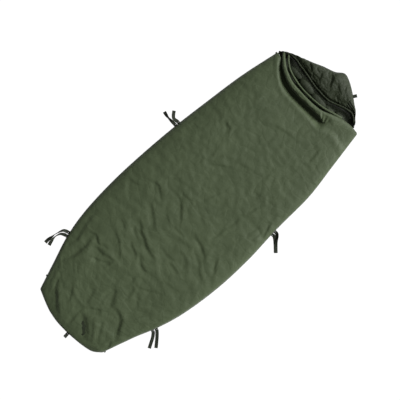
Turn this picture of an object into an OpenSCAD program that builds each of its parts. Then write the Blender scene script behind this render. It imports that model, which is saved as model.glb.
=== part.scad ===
// Hooded bivy sack, lying flat and empty. The ground is z = 0, the head is at +Y
// and the side zip is on the +X side.

/* [Sack] */
// Length from the foot seam to the crown of the hood
sack_length = 2290; // [1900:10:2500]
// Width at the hips, the widest place
sack_width = 910; // [800:10:1000]
// Height of the empty sack over the chest
chest_loft = 56; // [54:1:80]
// Height of the empty sack just inside the foot
foot_loft = 40; // [38:1:60]
// Height of the hood's padded crown above its edges
crown_bulge = 22; // [20:1:40]

/* [Cloth] */
// Thickness of the shell and lining cloth
cloth_t = 1.2; // [1:0.1:1.3]
// Thickness of the sheets of filling
wadding_t = 6; // [4:0.5:6]
// Gap between neighbouring layers
layer_gap = 0.3; // [0.3:0.1:0.4]

/* [Edges] */
// Width of the seam tape round the edge
binding_w = 8; // [6:1:10]
// Height of the seam tape round the edge
binding_h = 5; // [5:0.5:6]

/* [Ties] */
// Width of a tie tape
tape_w = 21; // [15:1:22]
// Thickness of a tie tape
tape_t = 1.2; // [1:0.1:1.5]

/* [Zip] */
// Length of the side zip
zip_length = 440; // [360:10:440]
// Length of the zip's pull tab
pull_length = 28; // [20:1:35]

/* [Hidden] */

// Outlines are drawn for the nominal size and stretched to the size asked for
stretch = [sack_width / 910, sack_length / 2290];
function sized(points) = [for (p = points) [p[0] * stretch[0], p[1] * stretch[1]]];

// Sides of the sack, from the foot corner to the neck
left_side = sized([[-285, -1034], [-345, -865], [-405, -690], [-440, -500],
    [-454, -260], [-450, -20], [-436, 220], [-412, 460], [-380, 730], [-332, 985]]);
right_side = sized([[251, -1027], [318, -825], [375, -675], [420, -500],
    [450, -250], [453, 0], [438, 240], [430, 520], [397, 740], [357, 990]]);
// Foot edge, and the chest panel's edge under the collar, both from left to right
foot_edge = sized([[-285, -1034], [-143, -1086], [0, -1098], [180, -1075], [251, -1027]]);
chest_edge = sized([[-332, 985], [-263, 920], [-141, 858], [0, 866], [159, 852],
    [279, 892], [357, 990]]);
// Hood's outer edge, and the edge of its brim, both from left to right
hood_edge = sized([[-332, 1000], [-240, 1058], [-88, 1126], [41, 1193], [140, 1156],
    [254, 1076], [318, 1006]]);
brim_edge = sized([[-318, 1012], [-250, 1030], [-160, 1022], [-70, 1012], [0, 1008],
    [100, 1010], [180, 1032], [245, 1048], [306, 1016]]);
neck_y = 985 * stretch[1];
// The ground sheet stays inside the chest panel's free corner at the neck
neck_right = 334 * stretch[0];

lining_t = 1;
layer_t = cloth_t + layer_gap;          // one cloth and the gap next to it
bottom_wadding_z = layer_t;
bottom_lining_z = bottom_wadding_z + wadding_t + layer_gap;
shell_inset = binding_w + 1;
wadding_inset = 24;
lining_inset = 28;
// Distance from the neck seam at which the layers on either side of it stop
shell_neck_gap = 0.5;
body_neck_gap = 10;
hood_neck_gap = 8;

// Colours of the cloths, tapes and fillings
shell_colour = "darkolivegreen";
lining_colour = "dimgray";
wadding_colour = "gainsboro";
collar_colour = "olivedrab";
binding_colour = [0.2, 0.24, 0.17];
tape_colour = [0.16, 0.19, 0.14];
thread_colour = [0.12, 0.14, 0.1];

// Zip, upright in the right side: its direction, its head end, and heights of its parts
zip_angle = 9;
zip_head = sized([[349.5, 968]])[0];
zip_mid_z = 7.5;
coil_slit = 1.6;
coil_h = 2.2;
coil_t = 2.6;
tape_strip_t = 0.8;
zip_top_z = 13.5;
zip_start_v = 0.74;                     // where the chest panel's edge rises for the zip
zip_rise_v = 0.06;
slider_length = 15;
slider_plate_x = 1.7;                   // from the teeth's middle to each side plate
slider_plate_t = 1.3;
pull_pin_x = 4.9;
pull_pin_r = 0.8;
pull_pin_y = -7;
pull_t = 1.4;
pull_h = 4.4;

// Ties: length of the stub sewn to the edge, the free tape's distance from it, and the
// distance between the two tapes of a pair
stub = 5;
hinge_gap = 1;
tie_pitch = tape_w + 3;
hood_tab_length = 20;

// Brim: its hem tube, the elastic in it, and how far from the crown's ends it stops
brim_r = 7;
brim_gap = 2.5;
brim_end_u = 0.03;
elastic_r = 2.4;
elastic_gap = 0.5;

// ---- curves, sheets and tubes ----

function lerp(a, b, t) = a + (b - a) * t;

// Smooth curve through a list of points, for t from 0 to 1
function curve(points, t) =
    let (n = len(points) - 1, i = max(0, min(n - 1, floor(t * n))), f = t * n - i,
         a = points[max(0, i - 1)], b = points[i], c = points[i + 1],
         d = points[min(n, i + 2)])
    b + (c - a) * f / 2 + (2 * a - 5 * b + 4 * c - d) * f * f / 2
      + (3 * b - a - 3 * c + d) * f * f * f / 2;

function samples(points, n, from = 0, to = 1) =
    [for (i = [0:n]) curve(points, lerp(from, to, i / n))];

// Moves an open run of points sideways, to its left for a positive distance
function beside(points, distance) =
    let (last = len(points) - 1)
    [for (i = [0:last])
        let (along = points[min(last, i + 1)] - points[max(0, i - 1)], n = norm(along))
        points[i] + [-along[1], along[0]] * distance / n];

function backwards(list) = [for (i = [len(list) - 1:-1:0]) list[i]];
function flat(grid) = [for (row = grid) for (p = row) p];

// A band of cloth tape that follows an open run of points
module band(points, width, height) {
    linear_extrude(height) polygon(concat(points, backwards(beside(points, width))));
}

// A sheet between two grids of points with the same rows and columns; each row runs
// along +X and the rows follow each other along +Y
module sheet(upper, lower) {
    rows = len(upper);
    cols = len(upper[0]);
    under = rows * cols;
    faces = concat(
        [for (r = [0:rows - 2]) for (c = [0:cols - 2])
            let (a = r * cols + c, d = a + cols) each [
                [a, d, d + 1], [a, d + 1, a + 1],
                [under + a, under + a + 1, under + d + 1], [under + a, under + d + 1, under + d]]],
        [for (c = [0:cols - 2]) let (a = c, d = (rows - 1) * cols + c) each [
            [a, a + 1, under + a + 1], [a, under + a + 1, under + a],
            [d + 1, d, under + d], [d + 1, under + d, under + d + 1]]],
        [for (r = [0:rows - 2]) let (a = r * cols, d = a + cols, b = a + cols - 1, e = b + cols)
            each [
            [d, a, under + a], [d, under + a, under + d],
            [b, e, under + e], [b, under + e, under + b]]]);
    polyhedron(concat(flat(upper), flat(lower)), faces);
}

// Rings of an oval tube; a station is [x, y, z, half width, half height]
function rings(stations, sides, thinner = 0) =
    let (last = len(stations) - 1)
    [for (i = [0:last])
        let (s = stations[i], along = stations[min(last, i + 1)] - stations[max(0, i - 1)],
             n = norm([along[0], along[1]]), side = [along[1], -along[0], 0] / n)
        [for (k = [0:sides - 1])
            [s[0], s[1], s[2]] + side * (s[3] - thinner) * cos(360 * k / sides)
                + [0, 0, s[4] - thinner] * sin(360 * k / sides)]];

function wall_faces(count, sides, start, inside = false) =
    [for (i = [0:count - 2]) for (k = [0:sides - 1])
        let (a = start + i * sides + k, b = start + i * sides + (k + 1) % sides,
             c = b + sides, d = a + sides)
        each inside ? [[a, c, b], [a, d, c]] : [[a, b, c], [a, c, d]]];

module tube(stations, sides) {
    count = len(stations);
    end = (count - 1) * sides;
    polyhedron(flat(rings(stations, sides)),
        concat(wall_faces(count, sides, 0),
            [[for (k = [sides - 1:-1:0]) k]], [[for (k = [0:sides - 1]) end + k]]));
}

module hollow_tube(stations, sides, wall) {
    count = len(stations);
    inner = count * sides;
    end = (count - 1) * sides;
    polyhedron(concat(flat(rings(stations, sides)), flat(rings(stations, sides, wall))),
        concat(wall_faces(count, sides, 0), wall_faces(count, sides, inner, true),
            [for (k = [0:sides - 1]) let (m = (k + 1) % sides) each [
                [k, inner + k, inner + m], [k, inner + m, m],
                [end + k, end + m, inner + end + m], [end + k, inner + end + m, inner + end + k]]]));
}

// ---- the sack's body ----

// Place on the chest and leg panel: u from left to right, v from foot to head
function panel_place(u, v) =
    lerp(curve(left_side, v), curve(right_side, v), u)
    + lerp(curve(foot_edge, u), curve(chest_edge, u), v)
    - lerp(lerp(foot_edge[0], foot_edge[len(foot_edge) - 1], u),
           lerp(chest_edge[0], chest_edge[len(chest_edge) - 1], u), v);

function arch(u) = sqrt(max(0, 1 - pow(abs(2 * u - 1), 2.6)));
function foot_rise(v) = v < 0.1 ? sqrt(1 - pow(1 - v / 0.1, 2)) : 1;
function ease(t) = let (s = max(0, min(1, t))) s * s * (3 - 2 * s);

// The panel's edge lies on the binding, and rises on the right to clear the zip
function edge_z(u, v) = binding_h + layer_t
    + (zip_top_z + layer_gap - binding_h) * ease((v - zip_start_v + zip_rise_v) / zip_rise_v)
      * ease(4 * u - 3);
function panel_z(u, v) = lerp(edge_z(u, v), lerp(foot_loft, chest_loft, ease(v * 1.3)),
    arch(u) * foot_rise(v));

panel_u = [0, 0.02, 0.05, 0.1, 0.18, 0.28, 0.39, 0.5, 0.61, 0.72, 0.82, 0.9, 0.95, 0.98, 1];
panel_v = [0, 0.012, 0.03, 0.06, 0.1, 0.17, 0.25, 0.33, 0.41, 0.49, 0.56, 0.62, 0.68, 0.74,
    0.8, 0.86, 0.91, 0.955, 1];

// The panel's surface, lowered by depth, without its outermost columns and rows
function panel_grid(depth, skip_cols = 0, skip_rows = 0) =
    [for (j = [skip_rows:len(panel_v) - 1])
        [for (i = [skip_cols:len(panel_u) - 1 - skip_cols])
            let (u = panel_u[i], v = panel_v[j], p = panel_place(u, v))
            [p[0], p[1], panel_z(u, v) - depth]]];

module panel_layer(depth, thickness, skip_cols = 0, skip_rows = 0) {
    sheet(panel_grid(depth, skip_cols, skip_rows),
        panel_grid(depth + thickness, skip_cols, skip_rows));
}

// Outline of the body's underside, counter-clockwise from the left end of the neck
function body_outline() = concat(
    backwards(samples(left_side, 18)),
    samples(foot_edge, 10, 0.05, 0.95),
    samples(right_side, 17, 0, 0.98),
    [[neck_right, neck_y]]);

// A flat layer of the body's underside, its edge inset and its neck edge kept clear
module body_layer(z, thickness, inset, neck_gap) {
    translate([0, 0, z]) linear_extrude(thickness) intersection() {
        polygon(beside(body_outline(), inset));
        translate([-sack_width, -sack_length]) square([2 * sack_width, sack_length + neck_y
            - neck_gap]);
    }
}

module ground_sheet() {
    color(shell_colour) body_layer(0, cloth_t, shell_inset, shell_neck_gap);
}

module bottom_wadding() {
    color(wadding_colour) body_layer(bottom_wadding_z, wadding_t, wadding_inset, body_neck_gap);
}

module bottom_lining() {
    color(lining_colour) body_layer(bottom_lining_z, lining_t, lining_inset, body_neck_gap);
}

module top_shell() {
    color(shell_colour) panel_layer(0, cloth_t);
}

module top_wadding() {
    color(wadding_colour) panel_layer(layer_t, wadding_t, 1, 2);
}

module top_lining() {
    color(lining_colour) panel_layer(layer_t + wadding_t + layer_gap, lining_t, 2, 3);
}

// ---- seam tapes and stitched ends ----

module left_binding() {
    color(binding_colour) band(backwards(samples(left_side, 24, 0.005, 1)), binding_w, binding_h);
}

module foot_binding() {
    color(binding_colour) band(samples(foot_edge, 14, 0.02, 0.98), binding_w, binding_h);
}

module right_binding() {
    color(binding_colour) band(samples(right_side, 20, 0.005, 0.755), binding_w, binding_h);
}

module bar_tacks() {
    color(thread_colour)
        for (p = sized([[-319.9, -949.5], [260.8, -1011.6], [-338.6, 976.9]]))
            translate([p[0], p[1], 0]) cylinder(r = 4, h = binding_h, $fn = 24);
}

// ---- collars ----

chest_collar_line = [[-294, 970, 27, 10, 9], [-232, 930, 36, 20, 14], [-141, 892, 44, 27, 16],
    [0, 897, 47, 24, 17], [150, 906, 43, 38, 16], [246, 940, 37, 38, 14],
    [314, 976, 32, 14, 8]];
draft_collar_line = [[-240, 976, 22, 9, 8], [-190, 954, 26, 14, 10], [-100, 938, 29, 15, 11],
    [0, 938, 31, 14, 12], [110, 962, 28, 12, 11], [190, 989, 24, 7, 8]];

module collar(line, count, sides) {
    placed = [for (s = line) [s[0] * stretch[0], s[1] * stretch[1], s[2], s[3], s[4]]];
    tube(samples(placed, count), sides);
}

module chest_collar() {
    color(collar_colour) collar(chest_collar_line, 26, 12);
}

module draft_collar() {
    color(collar_colour) collar(draft_collar_line, 22, 10);
}

// ---- zip ----

// Zip parts are drawn upright with their head end at the origin, +Y towards the head
// and +X out of the sack
module at_zip() {
    translate([zip_head[0], zip_head[1], 0]) rotate([0, 0, zip_angle]) children();
}

module zip_strip(thickness, bottom, top) {
    translate([-thickness / 2, -zip_length, bottom]) cube([thickness, zip_length, top - bottom]);
}

coil_low = zip_mid_z - coil_slit / 2 - coil_h;
coil_high = zip_mid_z + coil_slit / 2 + coil_h;

module zip_tape_lower() {
    color(tape_colour) at_zip() zip_strip(tape_strip_t, layer_t, coil_low - 0.1);
}

module zip_tape_upper() {
    color(tape_colour) at_zip() zip_strip(tape_strip_t, coil_high + 0.1, zip_top_z);
}

module zip_coil_lower() {
    color("black") at_zip() zip_strip(coil_t, coil_low, coil_low + coil_h);
}

module zip_coil_upper() {
    color("black") at_zip() zip_strip(coil_t, coil_high - coil_h, coil_high);
}

module zip_end_stop() {
    color("dimgray") at_zip() translate([-2, -zip_length - 4, coil_low])
        cube([4, 3.8, coil_high - coil_low]);
}

// Side plate of the slider, wide at its head end
module slider_plate() {
    rotate([90, 0, 90]) linear_extrude(slider_plate_t) hull() {
        translate([-slider_length + 3, zip_mid_z]) circle(r = 3, $fn = 32);
        translate([-2.5, zip_mid_z + 1.5]) circle(r = 2.5, $fn = 32);
        translate([-2.5, zip_mid_z - 1.5]) circle(r = 2.5, $fn = 32);
    }
}

// Two side plates joined through the teeth's slit, and two ears that hold the pull's pin
module zip_slider() {
    ear_x = slider_plate_x + slider_plate_t;
    color("gray") at_zip() {
        translate([slider_plate_x, 0, 0]) slider_plate();
        translate([-ear_x, 0, 0]) slider_plate();
        translate([-slider_plate_x, pull_pin_y - 2, zip_mid_z - 0.5])
            cube([2 * slider_plate_x, 6, 1]);
        for (z = [zip_mid_z - 3.2, zip_mid_z + 2.4])
            translate([ear_x - 0.3, pull_pin_y - 1.5, z]) cube([pull_pin_x - ear_x + 1.2, 3, 0.8]);
        translate([pull_pin_x, pull_pin_y, zip_mid_z - 3])
            cylinder(r = pull_pin_r, h = 6, $fn = 32);
    }
}

// A flat tab with a round end and a barrel that turns on the slider's pin
module zip_pull() {
    end_r = 4;
    end_y = end_r - pull_length;
    color("gray") at_zip() translate([pull_pin_x, pull_pin_y, zip_mid_z]) difference() {
        union() {
            translate([0, 0, -pull_h / 2]) cylinder(r = 1.55, h = pull_h, $fn = 32);
            translate([-pull_t / 2, end_y, -pull_h / 2]) cube([pull_t, -end_y, pull_h]);
            translate([-pull_t / 2, end_y, 0]) rotate([0, 90, 0])
                cylinder(r = end_r, h = pull_t, $fn = 48);
        }
        translate([0, 0, -pull_h]) cylinder(r = pull_pin_r + 0.08, h = 2 * pull_h, $fn = 32);
    }
}

// ---- hood ----

module hood_outline(inset, neck_gap) {
    inner = beside(backwards(samples(hood_edge, 26)), inset);
    last = len(inner) - 1;
    polygon(concat(
        [[inner[last][0] + inset * 0.3, neck_y + neck_gap], [inner[0][0] - inset * 0.3,
            neck_y + neck_gap]],
        [for (p = inner) if (p[1] > neck_y + neck_gap + 2) p]));
}

module hood_layer(z, thickness, inset, neck_gap) {
    translate([0, 0, z]) linear_extrude(thickness) hood_outline(inset, neck_gap);
}

module hood_back() {
    color(shell_colour) hood_layer(0, cloth_t, shell_inset, shell_neck_gap);
}

module hood_back_wadding() {
    color(wadding_colour) hood_layer(bottom_wadding_z, wadding_t, wadding_inset, hood_neck_gap);
}

module hood_back_lining() {
    color(lining_colour) hood_layer(bottom_lining_z, lining_t, lining_inset, hood_neck_gap);
}

// Place on the crown: u from left to right, v from the brim to the outer edge
function crown_place(u, v) = lerp(curve(brim_edge, u), curve(hood_edge, u), v);
function brim_z(u) = binding_h + layer_t + 32 * arch(u);
function crown_z(u, v) = lerp(brim_z(u), binding_h + layer_t, v * v)
    + crown_bulge * sin(180 * v) * arch(u);

crown_u = [0.035, 0.08, 0.14, 0.22, 0.31, 0.4, 0.5, 0.6, 0.69, 0.78, 0.86, 0.92, 0.965];
crown_v = [0, 0.12, 0.26, 0.42, 0.58, 0.72, 0.84, 0.93, 1];

function crown_grid(depth, skip_cols, skip_rows) =
    [for (j = [0:len(crown_v) - 1 - skip_rows])
        [for (i = [skip_cols:len(crown_u) - 1 - skip_cols])
            let (u = crown_u[i], v = crown_v[j], p = crown_place(u, v))
            [p[0], p[1], crown_z(u, v) - depth]]];

module crown_layer(depth, thickness, skip_cols = 0, skip_rows = 0) {
    sheet(crown_grid(depth, skip_cols, skip_rows),
        crown_grid(depth + thickness, skip_cols, skip_rows));
}

module hood_crown() {
    color(shell_colour) crown_layer(0, cloth_t);
}

module hood_crown_wadding() {
    color(wadding_colour) crown_layer(layer_t, wadding_t, 2, 2);
}

module hood_crown_lining() {
    color(lining_colour) crown_layer(layer_t + wadding_t + layer_gap, lining_t, 2, 3);
}

module hood_binding() {
    color(binding_colour) band(backwards(samples(hood_edge, 28)), binding_w, binding_h);
}

module hood_tab() {
    color(tape_colour) translate([178 * stretch[0], 1136 * stretch[1], 0]) rotate([0, 0, 58])
        translate([0, -tape_w / 2, 0]) cube([hood_tab_length, tape_w, tape_t]);
}

// The brim's hem runs in front of the crown's edge
brim_stations = [for (i = [0:24])
    let (u = lerp(brim_end_u, 1 - brim_end_u, i / 24), p = curve(brim_edge, u))
    [p[0], p[1] - brim_r - brim_gap, brim_z(u) - 1, brim_r, brim_r]];

module brim_channel() {
    color(binding_colour) hollow_tube(brim_stations, 12, brim_r - elastic_r - elastic_gap);
}

module brim_elastic() {
    color("black") tube([for (s = brim_stations) [s[0], s[1], s[2], elastic_r, elastic_r]], 8);
}

// ---- ties ----

// Each pair of ties: place on the edge, and the direction out of the sack in degrees
left_shoulder = concat(sized([[-433.7, 250]]), 175);
right_shoulder = concat(sized([[439.5, 217.3]]), 3.2);
left_leg = concat(sized([[-406.3, -686]]), 194.4);
right_leg = concat(sized([[365.7, -703.7]]), -19.9);
foot_middle = concat(sized([[24, -1097.2]]), -86.4);

// Children are placed at the sewn edge, with +X out of the sack
module at_tie(pair) {
    translate([pair[0][0], pair[0][1], 0]) rotate([0, 0, pair[1]]) children();
}

module stub_at(pair, across) {
    at_tie(pair) translate([0.3, across - tape_w / 2, 0]) cube([stub, tape_w, tape_t]);
}

module tie_anchors() {
    color(tape_colour) {
        for (pair = [left_shoulder, right_shoulder, left_leg, right_leg])
            for (side = [-1, 1]) stub_at(pair, side * tie_pitch / 2);
        stub_at(foot_middle, 0);
    }
}

// A flat tape from the end of its stub along a route of [out, across] points
module tie(pair, side, route) {
    straight = 12;
    points = [for (p = concat([[0, 0], [straight, 0]], route))
        [stub + hinge_gap + p[0], side * tie_pitch / 2 + p[1]]];
    left = beside(points, tape_w / 2);
    right = beside(points, -tape_w / 2);
    color(tape_colour) at_tie(pair)
        linear_extrude(tape_t) polygon(concat(right, backwards(left)));
}

module left_shoulder_tie_a() {
    tie(left_shoulder, 1, [[60, 5], [102, 3]]);
}

module left_shoulder_tie_b() {
    tie(left_shoulder, -1, [[36, 3], [71, -21]]);
}

module right_shoulder_tie_a() {
    tie(right_shoulder, -1, [[44, -26], [86, -65]]);
}

module right_shoulder_tie_b() {
    tie(right_shoulder, 1, [[28, -4], [62, -30], [104, -69]]);
}

module left_leg_tie_a() {
    tie(left_leg, 1, [[36, 12], [56, 46], [58, 102]]);
}

module left_leg_tie_b() {
    tie(left_leg, -1, [[46, 6], [76, 50], [90, 124]]);
}

module right_leg_tie_a() {
    tie(right_leg, -1, [[40, -18], [87, -62]]);
}

module right_leg_tie_b() {
    tie(right_leg, 1, [[46, -12], [102, -48]]);
}

module foot_tie() {
    tie(foot_middle, 0, [[24, 0]]);
}

ground_sheet();
bottom_wadding();
bottom_lining();
top_shell();
top_wadding();
top_lining();
left_binding();
foot_binding();
right_binding();
bar_tacks();
chest_collar();
draft_collar();
tie_anchors();
zip_tape_lower();
zip_tape_upper();
zip_coil_lower();
zip_coil_upper();
zip_end_stop();
zip_slider();
zip_pull();
hood_back();
hood_back_wadding();
hood_back_lining();
hood_crown();
hood_crown_wadding();
hood_crown_lining();
hood_binding();
hood_tab();
brim_channel();
brim_elastic();
left_shoulder_tie_a();
left_shoulder_tie_b();
right_shoulder_tie_a();
right_shoulder_tie_b();
left_leg_tie_a();
left_leg_tie_b();
right_leg_tie_a();
right_leg_tie_b();
foot_tie();
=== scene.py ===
"""Looks of the hooded bivy sack: its cloth, padding, seam tapes, ties and side zip, built in metres
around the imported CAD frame, with a plain studio and the camera."""
import math

import bmesh
import bpy
import numpy as np
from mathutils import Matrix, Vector


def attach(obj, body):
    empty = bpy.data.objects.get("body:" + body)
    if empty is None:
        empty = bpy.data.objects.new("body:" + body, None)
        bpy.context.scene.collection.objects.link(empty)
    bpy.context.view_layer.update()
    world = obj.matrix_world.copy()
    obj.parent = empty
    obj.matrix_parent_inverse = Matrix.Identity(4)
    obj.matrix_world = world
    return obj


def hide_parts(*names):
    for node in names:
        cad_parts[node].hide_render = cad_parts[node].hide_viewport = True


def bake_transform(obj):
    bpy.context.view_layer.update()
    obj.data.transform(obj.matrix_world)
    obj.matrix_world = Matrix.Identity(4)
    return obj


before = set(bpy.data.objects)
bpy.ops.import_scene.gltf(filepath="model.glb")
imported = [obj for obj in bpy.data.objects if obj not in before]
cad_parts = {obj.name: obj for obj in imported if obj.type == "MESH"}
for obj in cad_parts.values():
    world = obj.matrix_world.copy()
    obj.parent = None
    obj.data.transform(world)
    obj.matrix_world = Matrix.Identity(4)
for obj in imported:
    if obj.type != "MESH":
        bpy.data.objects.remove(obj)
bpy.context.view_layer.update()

# ---- sizes, in metres ----

# Outlines of the sack, as in the CAD source: sides from foot to neck, the rest from left to right
LEFT_SIDE = [(-0.285, -1.034), (-0.345, -0.865), (-0.405, -0.69), (-0.44, -0.5), (-0.454, -0.26),
             (-0.45, -0.02), (-0.436, 0.22), (-0.412, 0.46), (-0.38, 0.73), (-0.332, 0.985)]
RIGHT_SIDE = [(0.251, -1.027), (0.318, -0.825), (0.375, -0.675), (0.42, -0.5), (0.45, -0.25),
              (0.453, 0), (0.438, 0.24), (0.43, 0.52), (0.397, 0.74), (0.357, 0.99)]
FOOT_EDGE = [(-0.285, -1.034), (-0.143, -1.086), (0, -1.098), (0.18, -1.075), (0.251, -1.027)]
HOOD_EDGE = [(-0.332, 1), (-0.24, 1.053), (-0.14, 1.099), (-0.08, 1.128), (-0.008, 1.156),
             (0.041, 1.192), (0.092, 1.181), (0.15, 1.15), (0.205, 1.114), (0.254, 1.077), (0.318, 1.006)]
BRIM_EDGE = [(-0.318, 1.01), (-0.254, 1.039), (-0.16, 1.029), (-0.07, 1.015), (0, 1.007),
             (0.09, 1.009), (0.165, 1.038), (0.24, 1.056), (0.308, 1.02)]
# The chest panel's edge, tucked in under the collar
TUCKED_EDGE = [(-0.332, 0.985), (-0.256, 0.962), (-0.141, 0.908), (0, 0.904), (0.15, 0.915),
               (0.27, 0.96), (0.357, 0.991)]
# The bottom of the groove between the chest panel and the collar
GROOVE = [(-0.345, 1.005), (-0.29, 0.973), (-0.235, 0.928), (-0.18, 0.893), (-0.12, 0.876),
          (-0.04, 0.872), (0.05, 0.873), (0.12, 0.872), (0.165, 0.866), (0.215, 0.884),
          (0.265, 0.896), (0.32, 0.886), (0.38, 0.878)]

EDGE_Z = 0.0042             # height of a panel's edge, folded into its tape
FOOT_LOFT = 0.040
CHEST_LOFT = 0.056
MOUTH_DIP = 0.004           # how far the chest sinks on its way to the mouth
ZIP_RISE = 0.0112           # how far the panel's edge rises over the zip
ZIP_START_V = 0.74
CREASE_SHARE = 0.70         # how much of its listed depth a crease in the panel keeps
CROWN_BULGE = 0.008
BRIM_LOFT = 0.038
LOWEST = 0.0001             # the lowest that cloth lies over the ground
SHELL_T = 0.0012            # thickness of the outer, ground and lining cloths
GROUND_T = 0.0011
LINING_T = 0.0008
SEAM_Z = 0.0034             # middle height of the folded seam tape
SEAM_HALF_W = 0.0040
SEAM_HALF_H = 0.0033
COLLAR_STEP = 0.0042        # spacing of the rings of the collars, the brim and the zip's hem
BRIM_STEP = 0.0028
HEM_STEP = 0.004


# ---- curves and noise ----

def curve(points, t):
    """Places at t, from 0 to 1, on a smooth curve through points."""
    points = np.asarray(points, float)
    t = np.asarray(t, float)
    last = len(points) - 1
    i = np.clip(np.floor(t * last).astype(int), 0, last - 1)
    f = (t * last - i)[..., None]
    a, b, c, d = (points[np.clip(i + k, 0, last)] for k in (-1, 0, 1, 2))
    square, cube = 2 * a - 5 * b + 4 * c - d, 3 * b - a - 3 * c + d
    return b + (c - a) * f / 2 + square * f ** 2 / 2 + cube * f ** 3 / 2


def across(points, u):
    """Places at u on the straight line between the first and the last of points."""
    return lerp(np.array(points[0]), np.array(points[-1]), u[..., None])


def line_y(points, x):
    """Height in y of an outline that runs from left to right, at x."""
    path = curve(points, np.linspace(0, 1, 160))
    return np.interp(x, path[:, 0], path[:, 1])


def ease(t):
    t = np.clip(t, 0, 1)
    return t * t * (3 - 2 * t)


def lerp(a, b, t):
    return a + (b - a) * t


def noise(x, y, size, seed):
    """Smooth noise of about -1 to 1, whose lumps are about size across."""
    turns = np.random.default_rng(seed).uniform(0, 2 * math.pi, (64, 64))
    x, y = np.asarray(x) / size, np.asarray(y) / size
    i, j = np.floor(x).astype(int), np.floor(y).astype(int)
    fx, fy = x - i, y - j

    def corner(a, b):
        turn = turns[(i + a) % 64, (j + b) % 64]
        return np.cos(turn) * (fx - a) + np.sin(turn) * (fy - b)

    u, v = (f ** 3 * (f * (f * 6 - 15) + 10) for f in (fx, fy))
    return 1.5 * lerp(lerp(corner(0, 0), corner(1, 0), u), lerp(corner(0, 1), corner(1, 1), u), v)


def ridges(x, y, size, seed):
    """Noise with sharp creases in it, from 0 in a crease to about 1 between them."""
    return np.minimum(1, 2.2 * np.abs(noise(x, y, size, seed)))


def creased(x, y, creases):
    """Height of a list of creases at x, y. A crease is (its points, half width, depth, lip): the cloth
    steps down to the right of its direction and rises again slowly, after a lip on its left."""
    x = x + 0.008 * noise(x, y, 0.07, 5)
    y = y + 0.008 * noise(x, y, 0.07, 6)
    height = np.zeros_like(x)
    for points, width, depth, lip in creases:
        path = curve(points, np.linspace(0, 1, 8 * len(points)))
        start, along = path[:-1], np.diff(path, axis=0)
        length = np.linalg.norm(along, axis=1)
        done = np.concatenate([[0], np.cumsum(length)])
        near, side, place = np.full(x.shape, 9.0), np.zeros_like(x), np.zeros_like(x)
        for k in range(len(start)):
            dx, dy = x - start[k, 0], y - start[k, 1]
            t = np.clip((dx * along[k, 0] + dy * along[k, 1]) / length[k] ** 2, 0, 1)
            px, py = dx - t * along[k, 0], dy - t * along[k, 1]
            gap = np.hypot(px, py)
            closer = gap < near
            near = np.where(closer, gap, near)
            side = np.where(closer, (px * along[k, 1] - py * along[k, 0]) / length[k], side)
            place = np.where(closer, (done[k] + t * length[k]) / done[-1], place)
        fade = np.sin(math.pi * np.clip(place, 0, 1)) ** 0.6
        side = np.sign(side) * near
        step = ease(side / width / 2 + 0.5) * np.exp(-np.maximum(side, 0) / (5 * width))
        raised = np.exp(-((side + 1.6 * width) / (1.4 * width)) ** 2)
        height += depth * fade * (0.4 * lip * raised - step)
    return height


# ---- meshes ----

def new_piece(name, points, faces, body=None, material=None, replaces=()):
    """A mesh piece from arrays of points and faces, riding on a body. Its slot has its material's name."""
    mesh = bpy.data.meshes.new(name)
    mesh.from_pydata(np.asarray(points, float).tolist(), [], [tuple(map(int, f)) for f in faces])
    mesh.polygons.foreach_set("use_smooth", np.ones(len(mesh.polygons), bool))
    piece = bpy.data.objects.new(name, mesh)
    bpy.context.scene.collection.objects.link(piece)
    if replaces:
        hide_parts(*replaces)
    if material:
        mesh.materials.append(material)
    if body:
        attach(piece, body)
    return piece


def grid_faces(rows, cols, closed=False):
    """Faces of a grid of rows x cols points, whose columns join round if closed."""
    r, c = np.meshgrid(np.arange(rows - 1), np.arange(cols if closed else cols - 1), indexing="ij")
    a, b = r * cols + c, r * cols + (c + 1) % cols
    return np.stack([a, b, b + cols, a + cols], -1).reshape(-1, 4)


def sheet_piece(name, x, y, z, **options):
    """A sheet through a grid of places, given as arrays of x, y and z."""
    return new_piece(name, np.stack([x, y, z], -1).reshape(-1, 3), grid_faces(*x.shape), **options)


def coordinates(piece):
    flat = np.zeros(len(piece.data.vertices) * 3)
    piece.data.vertices.foreach_get("co", flat)
    return flat.reshape(-1, 3)


def place_points(piece, points):
    piece.data.vertices.foreach_set("co", np.asarray(points, float).ravel())
    piece.data.update()


def apply_modifiers(piece):
    """Keeps what the piece's modifiers make, and removes them."""
    done = piece.evaluated_get(bpy.context.evaluated_depsgraph_get())
    mesh = bpy.data.meshes.new_from_object(done)
    piece.modifiers.clear()
    piece.data = mesh


def subdivide(piece, levels=1):
    piece.modifiers.new("smooth", "SUBSURF").levels = levels
    apply_modifiers(piece)


def thicken(piece, thickness, offset=-1.0):
    """Gives a sheet its thickness, below its surface."""
    solid = piece.modifiers.new("thickness", "SOLIDIFY")
    solid.thickness = thickness
    solid.offset = offset
    apply_modifiers(piece)


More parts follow.
